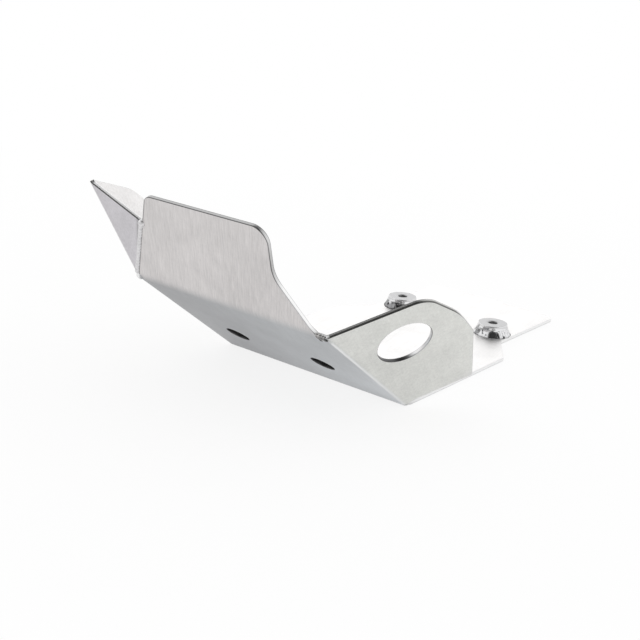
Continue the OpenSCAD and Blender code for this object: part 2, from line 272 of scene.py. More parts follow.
corner = from_slope(np.array([-half_width]), np.array([slope_length]), np.zeros(1))[0]
peak = fold_wing(tip[:1], tip[1:], np.zeros(1))[0] * np.array([-1, 1, 1])
panel_up = np.array([0, -math.cos(front_angle), math.sin(front_angle)])
seam_top = corner + np.array([front_lean * flap_height, 0, 0]) + flap_height * panel_up
seam_run = unit(peak - corner)
seam_side = unit(seam_top - corner - (seam_top - corner) @ seam_run * seam_run)
flap_out = np.cross(seam_side, seam_run)
s, c = math.sin(slope_angle), math.cos(slope_angle)
wing_out = np.array([-math.sin(wing_fold), -s * math.cos(wing_fold), -c * math.cos(wing_fold)])
flap_fold = math.acos(flap_out @ wing_out)
flap_tangent = flap_radius * math.tan(flap_fold / 2)
fold_run = unit(tip - foot)
fold_side = np.array([-fold_run[1], fold_run[0]])


def fold_blank(x, run, depth):
    """Folds points of the flat blank, at the given depths in it, into the finished plate.

    Each point goes with a wing, with the tongue beside the relief, or with the row of base, slope
    and front panel, by its place across and along the blank. The flap bends before its wing does.
    """
    out = np.abs(x) - half_width
    left = x < 0
    bearing = np.arctan2(np.maximum(run - slope_length, 0), x + half_width)
    past_fold = run > slope_length - 1e-6
    by_seam = left & past_fold & (bearing > seam_bearing)
    on_panel = past_fold & ~by_seam & ((out < -wing_tangent) | left)
    wing = by_seam | (out > -wing_tangent) & ((run > 0) | (out > notch_reach)) & ~on_panel
    tongue = ~wing & (x > relief_middle) & (run > slope_length / 2)
    flat = np.stack([out - foot[0], run - foot[1]], 1)
    past, beside = flat @ fold_side, flat @ fold_run
    along, height = fold(past, flap_fold, flap_radius, depth)
    bent = foot + beside[:, None] * fold_run + along[:, None] * fold_side
    flap = wing & left & (past > -flap_tangent)
    winged = fold_wing(np.where(flap, bent[:, 0], out), np.where(flap, bent[:, 1], run),
                       np.where(flap, height, depth))
    winged[:, 0] *= np.where(left, -1, 1)
    folded = np.where(tongue[:, None], from_slope(x, run, depth), fold_strip(x, run, depth))
    return np.where(wing[:, None], winged, folded)


def turned_path(*corners):
    """A closed outline through corners (x, y, radius), each rounded by its radius."""
    outline = []
    points = [np.array(p[:2], float) for p in corners]
    for n, (point, (_, _, radius)) in enumerate(zip(points, corners)):
        a, b = points[n - 1] - point, points[(n + 1) % len(points)] - point
        a, b = a / np.linalg.norm(a), b / np.linalg.norm(b)
        if radius == 0:
            outline.append(point[None])
            continue
        half = math.acos(np.clip(a @ b, -1, 1)) / 2
        centre = point + (a + b) / np.linalg.norm(a + b) * radius / math.sin(half)
        start, end = (point + v * radius / math.tan(half) - centre for v in (a, b))
        first = math.atan2(start[1], start[0])
        turn = math.atan2(start[0] * end[1] - start[1] * end[0], start @ end)
        at = first + np.linspace(0, turn, max(3, int(abs(turn) * radius / 0.8) + 3))
        outline.append(centre + radius * np.stack([np.cos(at), np.sin(at)], 1))
    return np.concatenate(outline)


def evenly(outline, step):
    """Spreads points along a closed outline so that none is further than a step apart."""
    after = np.roll(outline, -1, 0)
    count = np.maximum(1, np.ceil(np.linalg.norm(after - outline, axis=1) / step)).astype(int)
    start = np.repeat(outline, count, 0)
    way = np.repeat(after - outline, count, 0)
    part = np.concatenate([np.arange(n) / n for n in count])
    return start + way * part[:, None]


def inwards(outline):
    """The direction into the sheet at each point of an outline that runs anticlockwise."""
    way = np.roll(outline, -1, 0) - np.roll(outline, 1, 0)
    way /= np.linalg.norm(way, axis=1)[:, None]
    return np.stack([-way[:, 1], way[:, 0]], 1)


def inside(points, outline):
    """Tells which points lie inside a closed outline, by counting crossings."""
    a, b = outline, np.roll(outline, -1, 0)
    y = points[:, 1:2]
    over = (a[:, 1] > y) != (b[:, 1] > y)
    with np.errstate(divide="ignore", invalid="ignore"):
        cross = a[:, 0] + (y - a[:, 1]) / (b[:, 1] - a[:, 1]) * (b[:, 0] - a[:, 0])
    return (over & (points[:, :1] < cross)).sum(1) % 2 == 1


def swing(angle):
    """The flat direction at an angle from the blank's x axis."""
    return np.array([math.cos(angle), math.sin(angle)])


# where the flap ends on the blank: along the seam, turned back by the flap's angle at its foot
seam_foot = np.array([-base_half, slope_run])
lean = math.atan2(tip_run - slope_run, -tip_out)
seam_length = np.linalg.norm(seam_top - corner) / MM
opening = math.acos(unit(seam_top - corner) @ unit(peak - corner))
flap_corner = seam_foot + seam_length * swing(lean - opening)
flap_start = seam_foot + 3 * swing(lean - opening)

# the blank's corners in millimetres (across, along, radius), anticlockwise from the rear tab
both_sides = [(73, -310, 9), (73, -200, 14), (base_half, -160, 6), (base_half, -6, 1.5),
              (95.6, -2.2, 0.6), (95.6, 2.2, 0.6), (106.5, 3.5, 30), (157.4, -13.6, 2.5),
              (183.1, 45, 24)]
right_wing = [(184.3, 75.3, 80), (173.4, 117.7, 24), (101, slope_run, 2)]
relief_slot = [(88.1, slope_run, 0.8), (88.1, 135, 0.7), (86.5, 135, 0.7), (86.5, slope_run, 0.6)]
panel_foot = (-97.3, 148.4)
panel_edge = [(57, 189.6, 24), (61.5, panel_top, 13), (-panel_half, panel_top, 10),
              (*panel_foot, 0), (-97.5, 145.2, 0)]
left_wing = [(*flap_start, 0), (*flap_corner, 1.2), (-base_half - tip_out, tip_run, 2),
             (-185.5, 148.7, 50)]
blank = turned_path(*both_sides, *right_wing, *relief_slot, *panel_edge, *left_wing,
                    *[(-x, y, radius) for x, y, radius in both_sides[::-1]]) * MM
blank = evenly(blank, 1.6 * MM)


def ring(x, y, radius, count):
    """A round hole in the blank, clockwise so that the sheet lies on its left."""
    turn = np.linspace(0, -2 * math.pi, count, endpoint=False)
    return np.stack([x + radius * np.cos(turn), y + radius * np.sin(turn)], 1) * MM


recess_radius, recess_spots = 10.7, [(-51.3, 54.6), (41.5, 54.6), (-54, -214), (54, -214)]
holes = [ring(base_half + 38.7, 84.6, 22.6, 120),
         *[ring(*spot, recess_radius, 72) for spot in recess_spots]]
loops = [blank, *holes]

# points inside: a net of 5 mm, and close rows over each fold
net = 5.0 * MM
columns = np.arange(-37, 38) * net
rows = np.concatenate([np.arange(-61, 48) * net, np.linspace(-1, 1, 13) * low_tangent,
                       slope_length + np.linspace(-1, 1, 17) * soft_tangent])
x, y = np.meshgrid(columns, rows)
fold_rows = np.linspace(-1, 1, 13) * wing_tangent
sx, sy = np.meshgrid(np.concatenate([half_width + fold_rows, -half_width - fold_rows]),
                     np.arange(0, 30) * net)
bx, by = np.meshgrid(np.linspace(-1, 1, 13) * flap_tangent, np.arange(1, 34) * net / 2)
across_flap = foot + by.reshape(-1, 1) * fold_run + bx.reshape(-1, 1) * fold_side
across_flap[:, 0] = -half_width - across_flap[:, 0]
filling = np.concatenate([*[np.stack([a.ravel(), b.ravel()], 1) for a, b in ((x, y), (sx, sy))],
                          across_flap])
rim = np.concatenate(loops)
gap = np.concatenate([np.linalg.norm(part[:, None] - rim[None], axis=2).min(1)
                      for part in np.array_split(filling, 20)])
keep = inside(filling, blank) & (gap > 1.3 * MM)
for hole in holes:
    keep &= ~inside(filling, hole)
filling = filling[keep]

# the net of triangles between the outlines, kept where it lies in the sheet
ins = [loop + inwards(loop) * edge_round for loop in loops]
starts = np.cumsum([0] + [len(loop) for loop in loops])
edges = [(int(a + n), int(a + (n + 1) % (b - a))) for a, b in zip(starts[:-1], starts[1:])
         for n in range(b - a)]
flat = np.concatenate([*ins, filling])
made = delaunay_2d_cdt([Vector(p) for p in flat.tolist()], edges, [], 0, 1e-7)
flat = np.array([tuple(v) for v in made[0]])
faces = np.array(made[2])
first = np.full(len(flat), -1)
for n, origins in enumerate(made[3]):
    first[n] = origins[0] if origins else -1
centre = flat[faces].mean(1)
keep = inside(centre, ins[0])
for hole in ins[1:]:
    keep &= ~inside(centre, hole)
faces = faces[keep]
spin = np.cross(flat[faces[:, 1]] - flat[faces[:, 0]], flat[faces[:, 2]] - flat[faces[:, 0]])
faces[spin < 0] = faces[spin < 0][:, ::-1]

count = len(flat)
order = np.empty(starts[-1], int)
on_outline = (first >= 0) & (first < starts[-1])
order[first[on_outline]] = np.nonzero(on_outline)[0]

# both faces, and between them the cut edge as rows of a rounded section
steps = 3
quarter = np.linspace(0, math.pi / 2, steps + 1)
inset = np.concatenate([1 - np.sin(quarter), (1 - np.sin(quarter))[::-1]]) * edge_round
deep = np.concatenate([(1 - np.cos(quarter)) * edge_round,
                       (thickness - (1 - np.cos(quarter)) * edge_round)[::-1]])
spots, depths, tiles, seams = [flat, flat], [np.zeros(count), np.full(count, thickness)], [], []
tiles_tri = [faces[:, ::-1], faces + count]
total = 2 * count
for a, b, loop in zip(starts[:-1], starts[1:], loops):
    length = b - a
    rowids = [order[a:b]]
    for k in range(1, len(inset) - 1):
        spots.append(loop + inwards(loop) * inset[k])
        depths.append(np.full(length, deep[k]))
        rowids.append(total + np.arange(length))
        total += length
    rowids.append(order[a:b] + count)
    for low, high in zip(rowids[:-1], rowids[1:]):
        tiles.append(np.stack([low, np.roll(low, -1), np.roll(high, -1), high], 1)[:, ::-1])
    seams.append(np.stack([rowids[0], np.roll(rowids[0], -1)], 1))
    seams.append(np.stack([rowids[-1], np.roll(rowids[-1], -1)], 1))
spots, depths = np.concatenate(spots), np.concatenate(depths)
folded = fold_blank(spots[:, 0], spots[:, 1], depths)


def new_piece(name, points, polygons, finish, uv=None, sharp=None, marks=None):
    """Builds a smooth-shaded piece from whole arrays of points and faces."""
    mesh = bpy.data.meshes.new(name)
    mesh.from_pydata(points.tolist(), [], polygons)
    mesh.polygons.foreach_set("use_smooth", np.ones(len(mesh.polygons), bool))
    if uv is not None:
        corner_of = np.empty(len(mesh.loops), int)
        mesh.loops.foreach_get("vertex_index", corner_of)
        layer = mesh.uv_layers.new(name="blank")
        layer.data.foreach_set("uv", uv[corner_of].astype(np.float32).ravel())
    if sharp is not None:
        ends = np.empty(2 * len(mesh.edges), int)
        mesh.edges.foreach_get("vertices", ends)
        ends = np.sort(ends.reshape(-1, 2), 1)
        wanted = np.sort(sharp, 1)
        size = len(points)
        marked = np.isin(ends[:, 0] * size + ends[:, 1], wanted[:, 0] * size + wanted[:, 1])
        mesh.attributes.new("sharp_edge", "BOOLEAN", "EDGE").data.foreach_set("value", marked)
    for mark, values in (marks or {}).items():
        layer = mesh.attributes.new(mark, "FLOAT", "POINT")
        layer.data.foreach_set("value", values.astype(np.float32))
    mesh.materials.append(finish)
    piece = bpy.data.objects.new(name, mesh)
    bpy.context.collection.objects.link(piece)
    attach(piece, "root")
    return piece


# painted light and shade: one tone for each face of the sheet, set by how the face lies to the light
panel_painted_light, slope_painted_shade = (0.90, 0.872, 0.866, 1), (0.77, 0.79, 0.81, 1)
slope_left_painted_shade, base_tone = (0.585, 0.59, 0.605, 1), (0.93, 0.922, 0.917, 1)
wing_painted_light, flap_painted_shade = (0.975, 0.98, 0.945, 1), (0.815, 0.795, 0.825, 1)
wing_inside_painted_light = (0.92, 0.905, 0.90, 1)
panel_left = np.array([-panel_half, panel_top]) * MM
panel_way = unit(panel_left - np.array(panel_foot) * MM)


def brushed_sheet(name):
    """Bare aluminium sheet: fine grain along the blank, cloudy tint, scuffs, and painted light and
    shade on its faces, folds and cut edges.

    The tone is each face's painted tone times a shade, which is a sum of weighted noises about 0.93
    with painted gradients on the slope.
    """
    finish, f = new_finish(name)
    solid_place = f.add("ShaderNodeTexCoord", out="Object")
    blank_place = f.add("ShaderNodeUVMap", {"uv_map": "blank"})
    askew = f.add("ShaderNodeMapping", values={"Vector": blank_place, "Rotation": (0, 0, 0.22)})
    along = f.add("ShaderNodeMapping", values={"Vector": askew, "Scale": (1, 0.07, 1)})
    grain = f.add("ShaderNodeTexNoise", values={"Vector": along, "Scale": 800, "Detail": 4,
                                                "Roughness": 0.65})
    bands = f.add("ShaderNodeTexNoise", values={"Vector": along, "Scale": 150, "Detail": 3})
    cloud = f.add("ShaderNodeTexNoise", values={"Vector": solid_place, "Scale": 30, "Detail": 6,
                                                "Roughness": 0.62})
    dapple = f.add("ShaderNodeTexNoise", values={"Vector": solid_place, "Scale": 420, "Detail": 4,
                                                 "Roughness": 0.7})
    slanted = f.add("ShaderNodeMapping", values={"Vector": blank_place, "Rotation": (0, 0, 0.5),
                                                 "Scale": (1, 0.04, 1)})
    scuff = f.add("ShaderNodeTexNoise", values={"Vector": slanted, "Scale": 900, "Detail": 2})
    patch = f.add("ShaderNodeTexNoise", values={"Vector": blank_place, "Scale": 26, "Detail": 1})
    scuffs = scuff.band(0.62, 0.72) * patch.band(0.52, 0.66)

    # painted light and shade: each face of the one sheet has its own tone for how it lies to the light,
    # the panel warm, the slope cool and darker and darker still towards its left, the wings' outer
    # faces green and lightest, their inner faces a little darker, the flap violet
    split = f.add("ShaderNodeSeparateXYZ", values={0: blank_place}, out="Y")
    sideways = f.add("ShaderNodeSeparateXYZ", values={0: blank_place}, out="X")
    off_fold = sideways.maths("ABSOLUTE", sideways) - half_width
    raised = split.band(-low_tangent, low_tangent)
    on_wing = off_fold.band(-3 * MM, 3 * MM) * split.band(-0.02, 0.0)
    on_panel = split.band(slope_length - soft_tangent, slope_length + soft_tangent) * (1 - on_wing)
    on_flap = f.add("ShaderNodeAttribute", {"attribute_name": "flap"}, out="Fac")
    slope_shade_gradient = f.mix(sideways.band(-0.09, 0.07), slope_left_painted_shade, slope_painted_shade)
    tone = f.mix(raised, base_tone, slope_shade_gradient)
    tone = f.mix(on_panel, tone, panel_painted_light)
    through = f.add("ShaderNodeAttribute", {"attribute_name": "through"}, out="Fac")
    tone = f.mix(on_wing, tone, f.mix(through, wing_painted_light, wing_inside_painted_light))
    tone = f.mix(on_flap, tone, flap_painted_shade)
    shade = 0.93 + 0.08 * (cloud.band(0.3, 0.7) - 0.5) + (0.16 + 0.30 * on_panel) * (grain - 0.5)
    shade = shade + 0.10 * (bands - 0.5) + (0.10 + 0.20 * on_wing) * (dapple - 0.5) - 0.05 * scuffs
    # painted shade: the slope is lighter towards the base's fold and darker towards the panel's
    shade = shade + raised * (1 - on_panel) * (1 - on_wing) * split.band(0.03, 0.14, 0.06, -0.06)
    # painted light: the slope is lighter low down beside the right wing's fold
    shade = shade + 0.10 * raised * (1 - on_wing) * sideways.band(0.055, 0.095) * split.band(0.11, 0.03)
    tone = f.add("ShaderNodeMix", {"data_type": "RGBA", "blend_type": "MULTIPLY"},
                 {"Factor": 1.0, 6: tone, 7: f.add("ShaderNodeCombineColor", values={
                     "Red": shade, "Green": shade, "Blue": shade})}, out=2)
    rough = 0.30 + 0.16 * grain + 0.10 * cloud + 0.05 * bands + 0.10 * scuffs

    # painted shadow: a dark line on the panel's outer face along its left edge, beside the flap's weld
    # bead
    from_seam = (sideways - panel_left[0]) * panel_way[1] - (split - panel_left[1]) * panel_way[0]
    seam_shadow = on_panel * (1 - through.band(0.1, 0.3)) * (1 - from_seam.band(0.6 * MM, 1.5 * MM))
    tone = f.mix(0.75 * seam_shadow, tone, (0.16, 0.16, 0.165, 1))

    # painted highlight: a pale, less metallic line along the crest of each wing's fold, ending short of
    # the panel
    off_crest = off_fold + 0.9 * MM
    fold_highlight = 1 - off_crest.maths("ABSOLUTE", off_crest).band(0.2 * MM, 2.6 * MM)
    fold_highlight = fold_highlight * raised * (1 - split.band(slope_length - 12 * MM, slope_length - 4 * MM))
    tone = f.mix(fold_highlight, tone, grey(0.97))

    # painted shade: a grey line along the outside of the slope's fold with the base
    fold_shade_line = (1 - split.maths("ABSOLUTE", split - 0.5 * MM).band(0.5 * MM, 2.6 * MM)) * (1 - through)
    tone = f.mix(0.5 * fold_shade_line * (1 - on_wing), tone, (0.25, 0.25, 0.255, 1))

    # the cut edge: painted light and shade. It is white on the base, on the rear of the wings, down the
    # panel's right side and in the flap's inner part, mid grey on the slope and panel, and on the wings
    # dark in the outer half and light in the inner half, partly the shear's own zones; painted lines of
    # shade run dark along its corners
    rim = f.add("ShaderNodeAttribute", {"attribute_name": "rim"}, out="Fac")
    hole_wall_shade = f.add("ShaderNodeAttribute", {"attribute_name": "hole_wall_shade"}, out="Fac")
    edge_shade_lines = through.band(0.26, 0.12) + through.band(0.72, 0.84) * (1 - on_flap)
    lit_edges = on_panel * sideways.band(0.055, 0.065) + on_wing * (1 - split.band(0.066, 0.084))
    edge_shade_lines = rim * edge_shade_lines * (0.08 + 0.3 * (1 - through) + 0.6 * raised) * (1 - 0.55 * lit_edges)
    edge_painted_tone = f.mix(raised, grey(0.97), grey(0.52))
    wing_edge_painted_tone = f.mix(through.band(0.4, 0.6), (0.20, 0.20, 0.19, 1), (0.66, 0.66, 0.65, 1))
    edge_painted_tone = f.mix(on_wing, edge_painted_tone, wing_edge_painted_tone)
    edge_painted_tone = f.mix(lit_edges.maths("MAXIMUM", lit_edges, on_flap * through.band(0.22, 0.34)), edge_painted_tone,
                 grey(0.97))
    # painted shade: the holes' walls are dark, all but the right part of the wing hole's wall
    edge_painted_tone = f.mix(hole_wall_shade * (1 - on_wing * sideways.band(0.124, 0.140)), edge_painted_tone, grey(0.11))
    tone = f.mix(rim, tone, edge_painted_tone)
    tone = f.mix(edge_shade_lines, tone, (0.10, 0.10, 0.102, 1))
    rough = rough - 0.12 * rim
    # the painted fold highlight and the base's painted white cut edge are made less metallic
    highlight_matt_share = fold_highlight.maths("MAXIMUM", fold_highlight, rim * (1 - raised))
    relief = f.add("ShaderNodeBump", values={"Strength": 0.35, "Distance": 0.00004,
                                             "Height": grain + 0.6 * bands + 0.8 * dapple})
    relief = f.add("ShaderNodeBump", values={"Strength": 0.4, "Distance": 0.0005, "Height": patch,
                                             "Normal": relief})
    metal = f.add("ShaderNodeBsdfPrincipled", values={"Base Color": tone,
                                                      "Metallic": 1 - 0.6 * highlight_matt_share,
                                                      "Roughness": rough, "Normal": relief})
    f.add("ShaderNodeOutputMaterial", values={"Surface": metal})
    return finish


sheet_finish = brushed_sheet("sheet_aluminium")
past_fold = (-spots[:, 0] - half_width) * fold_side[0] + (spots[:, 1] - foot[1]) * fold_side[1]
in_reach = (spots[:, 0] < -half_width + 3 * MM) * (spots[:, 1] > foot[1])
flap_share = np.clip(past_fold / flap_tangent, 0, 1) * in_reach
# where the holes' walls are, for their painted shade
hole_wall_shade_marks = np.concatenate([np.zeros(2 * count), *[
    np.full((len(inset) - 2) * len(loop), n > 0) for n, loop in enumerate(loops)]])
on_edge = np.concatenate([np.zeros(2 * count), np.ones(len(depths) - 2 * count)])
rims = {"hole_wall_shade": hole_wall_shade_marks, "rim": on_edge, "through": depths / thickness, "flap": flap_share}
polygons = np.concatenate(tiles_tri).tolist() + np.concatenate(tiles).tolist()
plate = new_piece("folded_plate_sheet", folded, polygons, sheet_finish,
                  uv=spots, sharp=np.concatenate(seams), marks=rims)
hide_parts("folded_plate")

# The corner fillings.
# Where three folds meet the blank has a notch. Each is welded shut and ground round, so the
# two low corners end in a ball of the folds' own radius and the seam's foot in a blob.


def grid_faces(rows, columns, wrap=False):
    """Quads of a grid of points, rows by columns, closed across the columns if asked."""
    across = columns if wrap else columns - 1
    r, c = np.meshgrid(np.arange(rows - 1), np.arange(across), indexing="ij")
    right_of = (c + 1) % columns
    return np.stack([r * columns + c, r * columns + right_of,
                     (r + 1) * columns + right_of, (r + 1) * columns + c], -1).reshape(-1, 4)


def closed_skin(places):
    """Closes a grid of rows of rings: the first and last row shrink to the mean of their points."""
    rows, columns = places.shape[:2]
    points = np.concatenate([places[1:-1].reshape(-1, 3), [places[0].mean(0), places[-1].mean(0)]])
    turn = np.arange(columns)
    next_turn = (turn + 1) % columns
    low = (rows - 3) * columns
    first, last = np.full(columns, len(points) - 2), np.full(columns, len(points) - 1)
    return points, (grid_faces(rows - 2, columns, True)[:, ::-1].tolist()
                    + np.stack([first, turn, next_turn], 1).tolist()
                    + np.stack([last, low + next_turn, low + turn], 1).tolist())


def joined(*skins):
    """Joins closed skins into one list of points and faces."""
    points, faces, start = [], [], 0
    for places in skins:
        more, quads = closed_skin(places)
        points.append(more)
        faces += [[start + n for n in quad] for quad in quads]
        start += len(more)
    return np.concatenate(points), faces


def ball_corner(centre, normals, outer, inner):
    """A shell's rounded corner: the part of a ball between three faces' outward normals.

    Rings run from the middle of the three normals out to the edges of their triangle, on the
    outer radius, and back to the middle on the inner radius.
    """
    if np.linalg.det(normals) < 0:
        normals = normals[::-1]
    middle = unit(normals.sum(0))
    share = np.linspace(0, 1, 16, endpoint=False)[:, None]
    edge = np.concatenate([normals[n] + share * (normals[(n + 1) % 3] - normals[n])
                           for n in range(3)])
    grown = middle + 1.08 * (edge - middle)
    out = np.linspace(0, 1, 10)[:, None, None]
    ways = (1 - out) * middle + out * grown
    ways /= np.linalg.norm(ways, axis=2)[..., None]
    return centre + np.concatenate([outer * ways, inner * ways[::-1]])


def globe(rows, columns):
    """Directions of a sphere: row r at the angle pi r / rows from +Z, column c around it."""
    tilt = np.linspace(0, math.pi, rows)[:, None]
    turn = np.linspace(0, 2 * math.pi, columns, endpoint=False)[None]
    return np.stack([np.sin(tilt) * np.cos(turn), np.sin(tilt) * np.sin(turn),
                     np.cos(tilt) * np.ones_like(turn)], -1)


base_out = np.array([0, 0, -1.0])
slope_out = np.array([0, -math.sin(slope_angle), -math.cos(slope_angle)])
front_out = np.array([0, -math.sin(front_angle), -math.cos(front_angle)])
ball_centre = np.array([half_width - wing_tangent, plate_front + low_tangent, fold_radius])
corners = [ball_corner(ball_centre * [side, 1, 1],
                       np.stack([base_out, slope_out, wing_out * [-side, 1, 1]]),
                       fold_radius, fold_radius - thickness) for side in (-1, 1)]
pit_depth, pit_radius = 3.4 * MM, 4.0 * MM
pit = corner - pit_depth * unit(slope_out + wing_out + front_out + flap_out)
points, faces = joined(*corners, pit + pit_radius * globe(24, 36))
new_piece("ground_corners", points, faces, sheet_finish,
          uv=np.stack([points[:, 0], plate_front - points[:, 1]], 1),
          marks=dict.fromkeys(rims, np.zeros(len(points))))

# The bolt cups.
# Four cups turned from aluminium bar: a recess below takes the bolt's head, and its shank goes
# up through the web. The sides are polished, and the top keeps the lathe's fine rings.
cup_height = 10.5 * MM
# the cup's section in millimetres (radius, height), up the recess and bore and down the outside
cup_profile = np.array([
    (10.7, 0.25), (10.7, 4), (10.7, 7.1), (10.5, 7.3), (7.5, 7.3), (4.8, 7.3), (4.5, 7.6), (4.5, 9),
    (4.5, 10.1), (4.9, 10.5), (8, 10.5), (12, 10.5), (13.9, 10.5), (14.25, 10.42), (14.45, 10.2),
    (14.5, 9.9), (14.5, 9.5), (14.5, 9.1), (14.55, 8.7), (14.75, 8), (15, 7.2), (15.2, 6.3),
    (15.3, 5.2), (15.4, 3.6), (15.6, 2), (15.9, 0.8), (16.2, 0.05), (15.9, 0), (13, 0),
    (10.9, 0)]) * MM


def turned(profile, count):
    """Turns a closed profile of (radius r, height h) about the z axis into a grid of rings.

    A point at the turn t lies at (r cos t, r sin t, h).
    """
    turn = np.linspace(0, 2 * math.pi, count, endpoint=False)
    radius, height = profile[:, 0, None], profile[:, 1, None]
    return np.stack([radius * np.cos(turn), radius * np.sin(turn), height + 0 * turn], -1)


def ring_skin(places):
    """Faces of a grid that is closed both ways, such as a turned ring."""
    rows, columns = places.shape[:2]
    wrapped = grid_faces(rows + 1, columns, True)
    return places.reshape(-1, 3), (wrapped % (rows * columns))[:, ::-1].tolist()


rear_setback, front_rise = 214 * MM, 54.6 * MM
slope_up = np.array([0, -math.cos(slope_angle), math.sin(slope_angle)])
flat_frame, sloped_frame = np.eye(3), np.stack([[1, 0, 0], -slope_up, -slope_out])
front_seat = np.array([0, plate_front, 0]) + front_rise * slope_up - thickness * slope_out
seats = {"rear_left": (flat_frame, [-54 * MM, plate_front + rear_setback, thickness]),
         "rear_right": (flat_frame, [54 * MM, plate_front + rear_setback, thickness]),
         "front_left": (sloped_frame, front_seat - [51.3 * MM, 0, 0]),
         "front_right": (sloped_frame, front_seat + [41.5 * MM, 0, 0])}

turned_finish, f = new_finish("turned_aluminium")
radius = f.add("ShaderNodeAttribute", {"attribute_name": "radius"}, out="Fac")
solid_place = f.add("ShaderNodeTexCoord", out="Object")
rings = f.add("ShaderNodeTexNoise", {"noise_dimensions": "1D"}, {"W": radius * 2600.0, "Scale": 1,
                                                                 "Detail": 3})
smear = f.add("ShaderNodeTexNoise", values={"Vector": solid_place, "Scale": 190, "Detail": 4})
topside = f.add("ShaderNodeAttribute", {"attribute_name": "topside"}, out="Fac")
recess = f.add("ShaderNodeAttribute", {"attribute_name": "recess"}, out="Fac")
# painted shade: the recess under each cup is darker and rougher
shade = 0.80 + 0.12 * (rings - 0.5) + 0.10 * (smear - 0.5) - 0.30 * topside - 0.50 * recess
tone = f.add("ShaderNodeCombineColor", values={"Red": shade, "Green": shade, "Blue": shade * 1.01})
rough = 0.09 + 0.06 * smear + topside * (0.22 + 0.14 * rings) + 0.3 * recess
relief = f.add("ShaderNodeBump", values={"Strength": 0.3, "Distance": 0.00003, "Height": rings})
relief = f.add("ShaderNodeBump", values={"Strength": 0.5, "Distance": 0.0004, "Height": smear,
                                         "Normal": relief})
metal = f.add("ShaderNodeBsdfPrincipled", values={"Base Color": tone, "Metallic": 1.0,
                                                  "Roughness": rough, "Normal": relief})
f.add("ShaderNodeOutputMaterial", values={"Surface": metal})

turn_count = 96
cup_places, cup_faces = ring_skin(turned(cup_profile, turn_count))
cup_marks = {"radius": np.hypot(cup_places[:, 0], cup_places[:, 1]),
             "topside": (cup_places[:, 2] > cup_height - 0.05 * MM) * 1.0,
             # the recess, for its painted shade
             "recess": (np.arange(len(cup_places)) < 9 * turn_count) * 1.0}
for name, (turning, seat) in seats.items():
    cup = new_piece(name + "_cup_turned", cup_places @ turning + seat, cup_faces, turned_finish,
                    marks=cup_marks)
    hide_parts(name + "_cup")

# The welds.
# Beads of melted filler wire: a hollow fillet round each cup's foot, a stack of ripples down the
# corner flap's seam, and a rough patch over the cut end of the slope in the relief notch.


def weld_finish(name, bright, dull, metallic, gloss, soot_and_reflection):
    """As-welded aluminium: light and frosted, with soot specks and patches, partly painted dark
    reflection, and darker in the troughs between the ripples.
    """
    finish, f = new_finish(name)
    place = f.add("ShaderNodeTexCoord", out="Object")
    frost = f.add("ShaderNodeTexNoise", values={"Vector": place, "Scale": 700, "Detail": 5,
                                                "Roughness": 0.7})
    soot = f.add("ShaderNodeTexNoise", values={"Vector": place, "Scale": 260, "Detail": 3})
    soot_and_reflection_patches = f.add("ShaderNodeTexNoise", values={"Vector": place, "Scale": 75, "Detail": 2})
    crest = f.add("ShaderNodeAttribute", {"attribute_name": "crest"}, out="Fac")
    # soot specks and patches, partly painted dark reflection, and darker in the troughs between the
    # ripples' crests, darkest at a fillet's foot
    dark = soot.band(0.54, 0.66) * soot_and_reflection + (1 - crest) * 0.3 + 0.7 * soot_and_reflection_patches.band(0.48, 0.57) * soot_and_reflection
    tone = f.mix(dark.maths("MINIMUM", dark, 1.0), bright, dull)
    rough = gloss + 0.12 * frost + 0.2 * soot.band(0.5, 0.7)
    relief = f.add("ShaderNodeBump", values={"Strength": 0.4, "Distance": 0.00015,
                                             "Height": frost + soot})
    metal = f.add("ShaderNodeBsdfPrincipled", values={"Base Color": tone, "Metallic": metallic,
                                                      "Roughness": rough, "Normal": relief})
    f.add("ShaderNodeOutputMaterial", values={"Surface": metal})
    return finish


fillet_finish = weld_finish("cup_weld_metal", (0.80, 0.80, 0.81, 1), (0.05, 0.05, 0.052, 1), 1.0,
                            0.04, 0.9)
weld_foot, weld_top, weld_rise = 19.0 * MM, 15.15 * MM, 6.8 * MM
ripple_count, ripple_height = 24, 0.09 * MM


def fillet_grid(rows, columns, seed):
    """A hollow fillet round a cup's foot, as a closed grid of rings.

    The share u runs 0 to 1 up the face: the radius falls from the foot's as (1 - u) ** 1.35 and
    the height climbs as u ** 1.15. Ripples, 1 - k (1 - |sin phase| ** 0.6), push the face out by
    up to 0.09 mm. Slow sines of the turn shift their phase, change their share k and make the leg
    uneven. The crest falls below zero at the foot, which tucks it into the sheet and makes the
    foot darkest. The rows end on a hidden back inside the cup.
    """
    u = np.linspace(0, 1, rows)[:, None]
    turn = np.linspace(0, 2 * math.pi, columns, endpoint=False)[None]
    uneven = 0.3 * MM * (np.sin(3 * turn + seed) + 0.6 * np.sin(7 * turn + 2.1 * seed)
                         + 0.5 * np.sin(11 * turn + 0.7 * seed))
    phase = ripple_count / 2 * turn + 1.5 * u + 1.3 * np.sin(3 * turn + seed) + np.sin(5 * turn + seed)
    crest = 1 - (1 - np.abs(np.sin(phase)) ** 0.6) * (0.55 + 0.45 * np.sin(4 * turn + 2 * seed))
    crest = crest - 2.4 * (1 - u) ** 12
    leg = (weld_foot - weld_top - ripple_height) + uneven * 0.8
    radius = weld_top + leg * (1 - u) ** 1.35 + ripple_height * crest * (1 - u ** 3)
    height = (weld_rise + uneven) * u ** 1.15 + 0.05 * MM * crest * (1 - u)
    radius = np.concatenate([radius, np.full((2, columns), 14.2 * MM)])
    radius[-1] = 15.5 * MM
    height = np.concatenate([height, height[-1:], np.zeros((1, columns))])
    crest = np.concatenate([crest, np.ones((2, columns))])
    turn = np.broadcast_to(turn, radius.shape)
    return np.stack([radius * np.cos(turn), radius * np.sin(turn), height], -1), crest


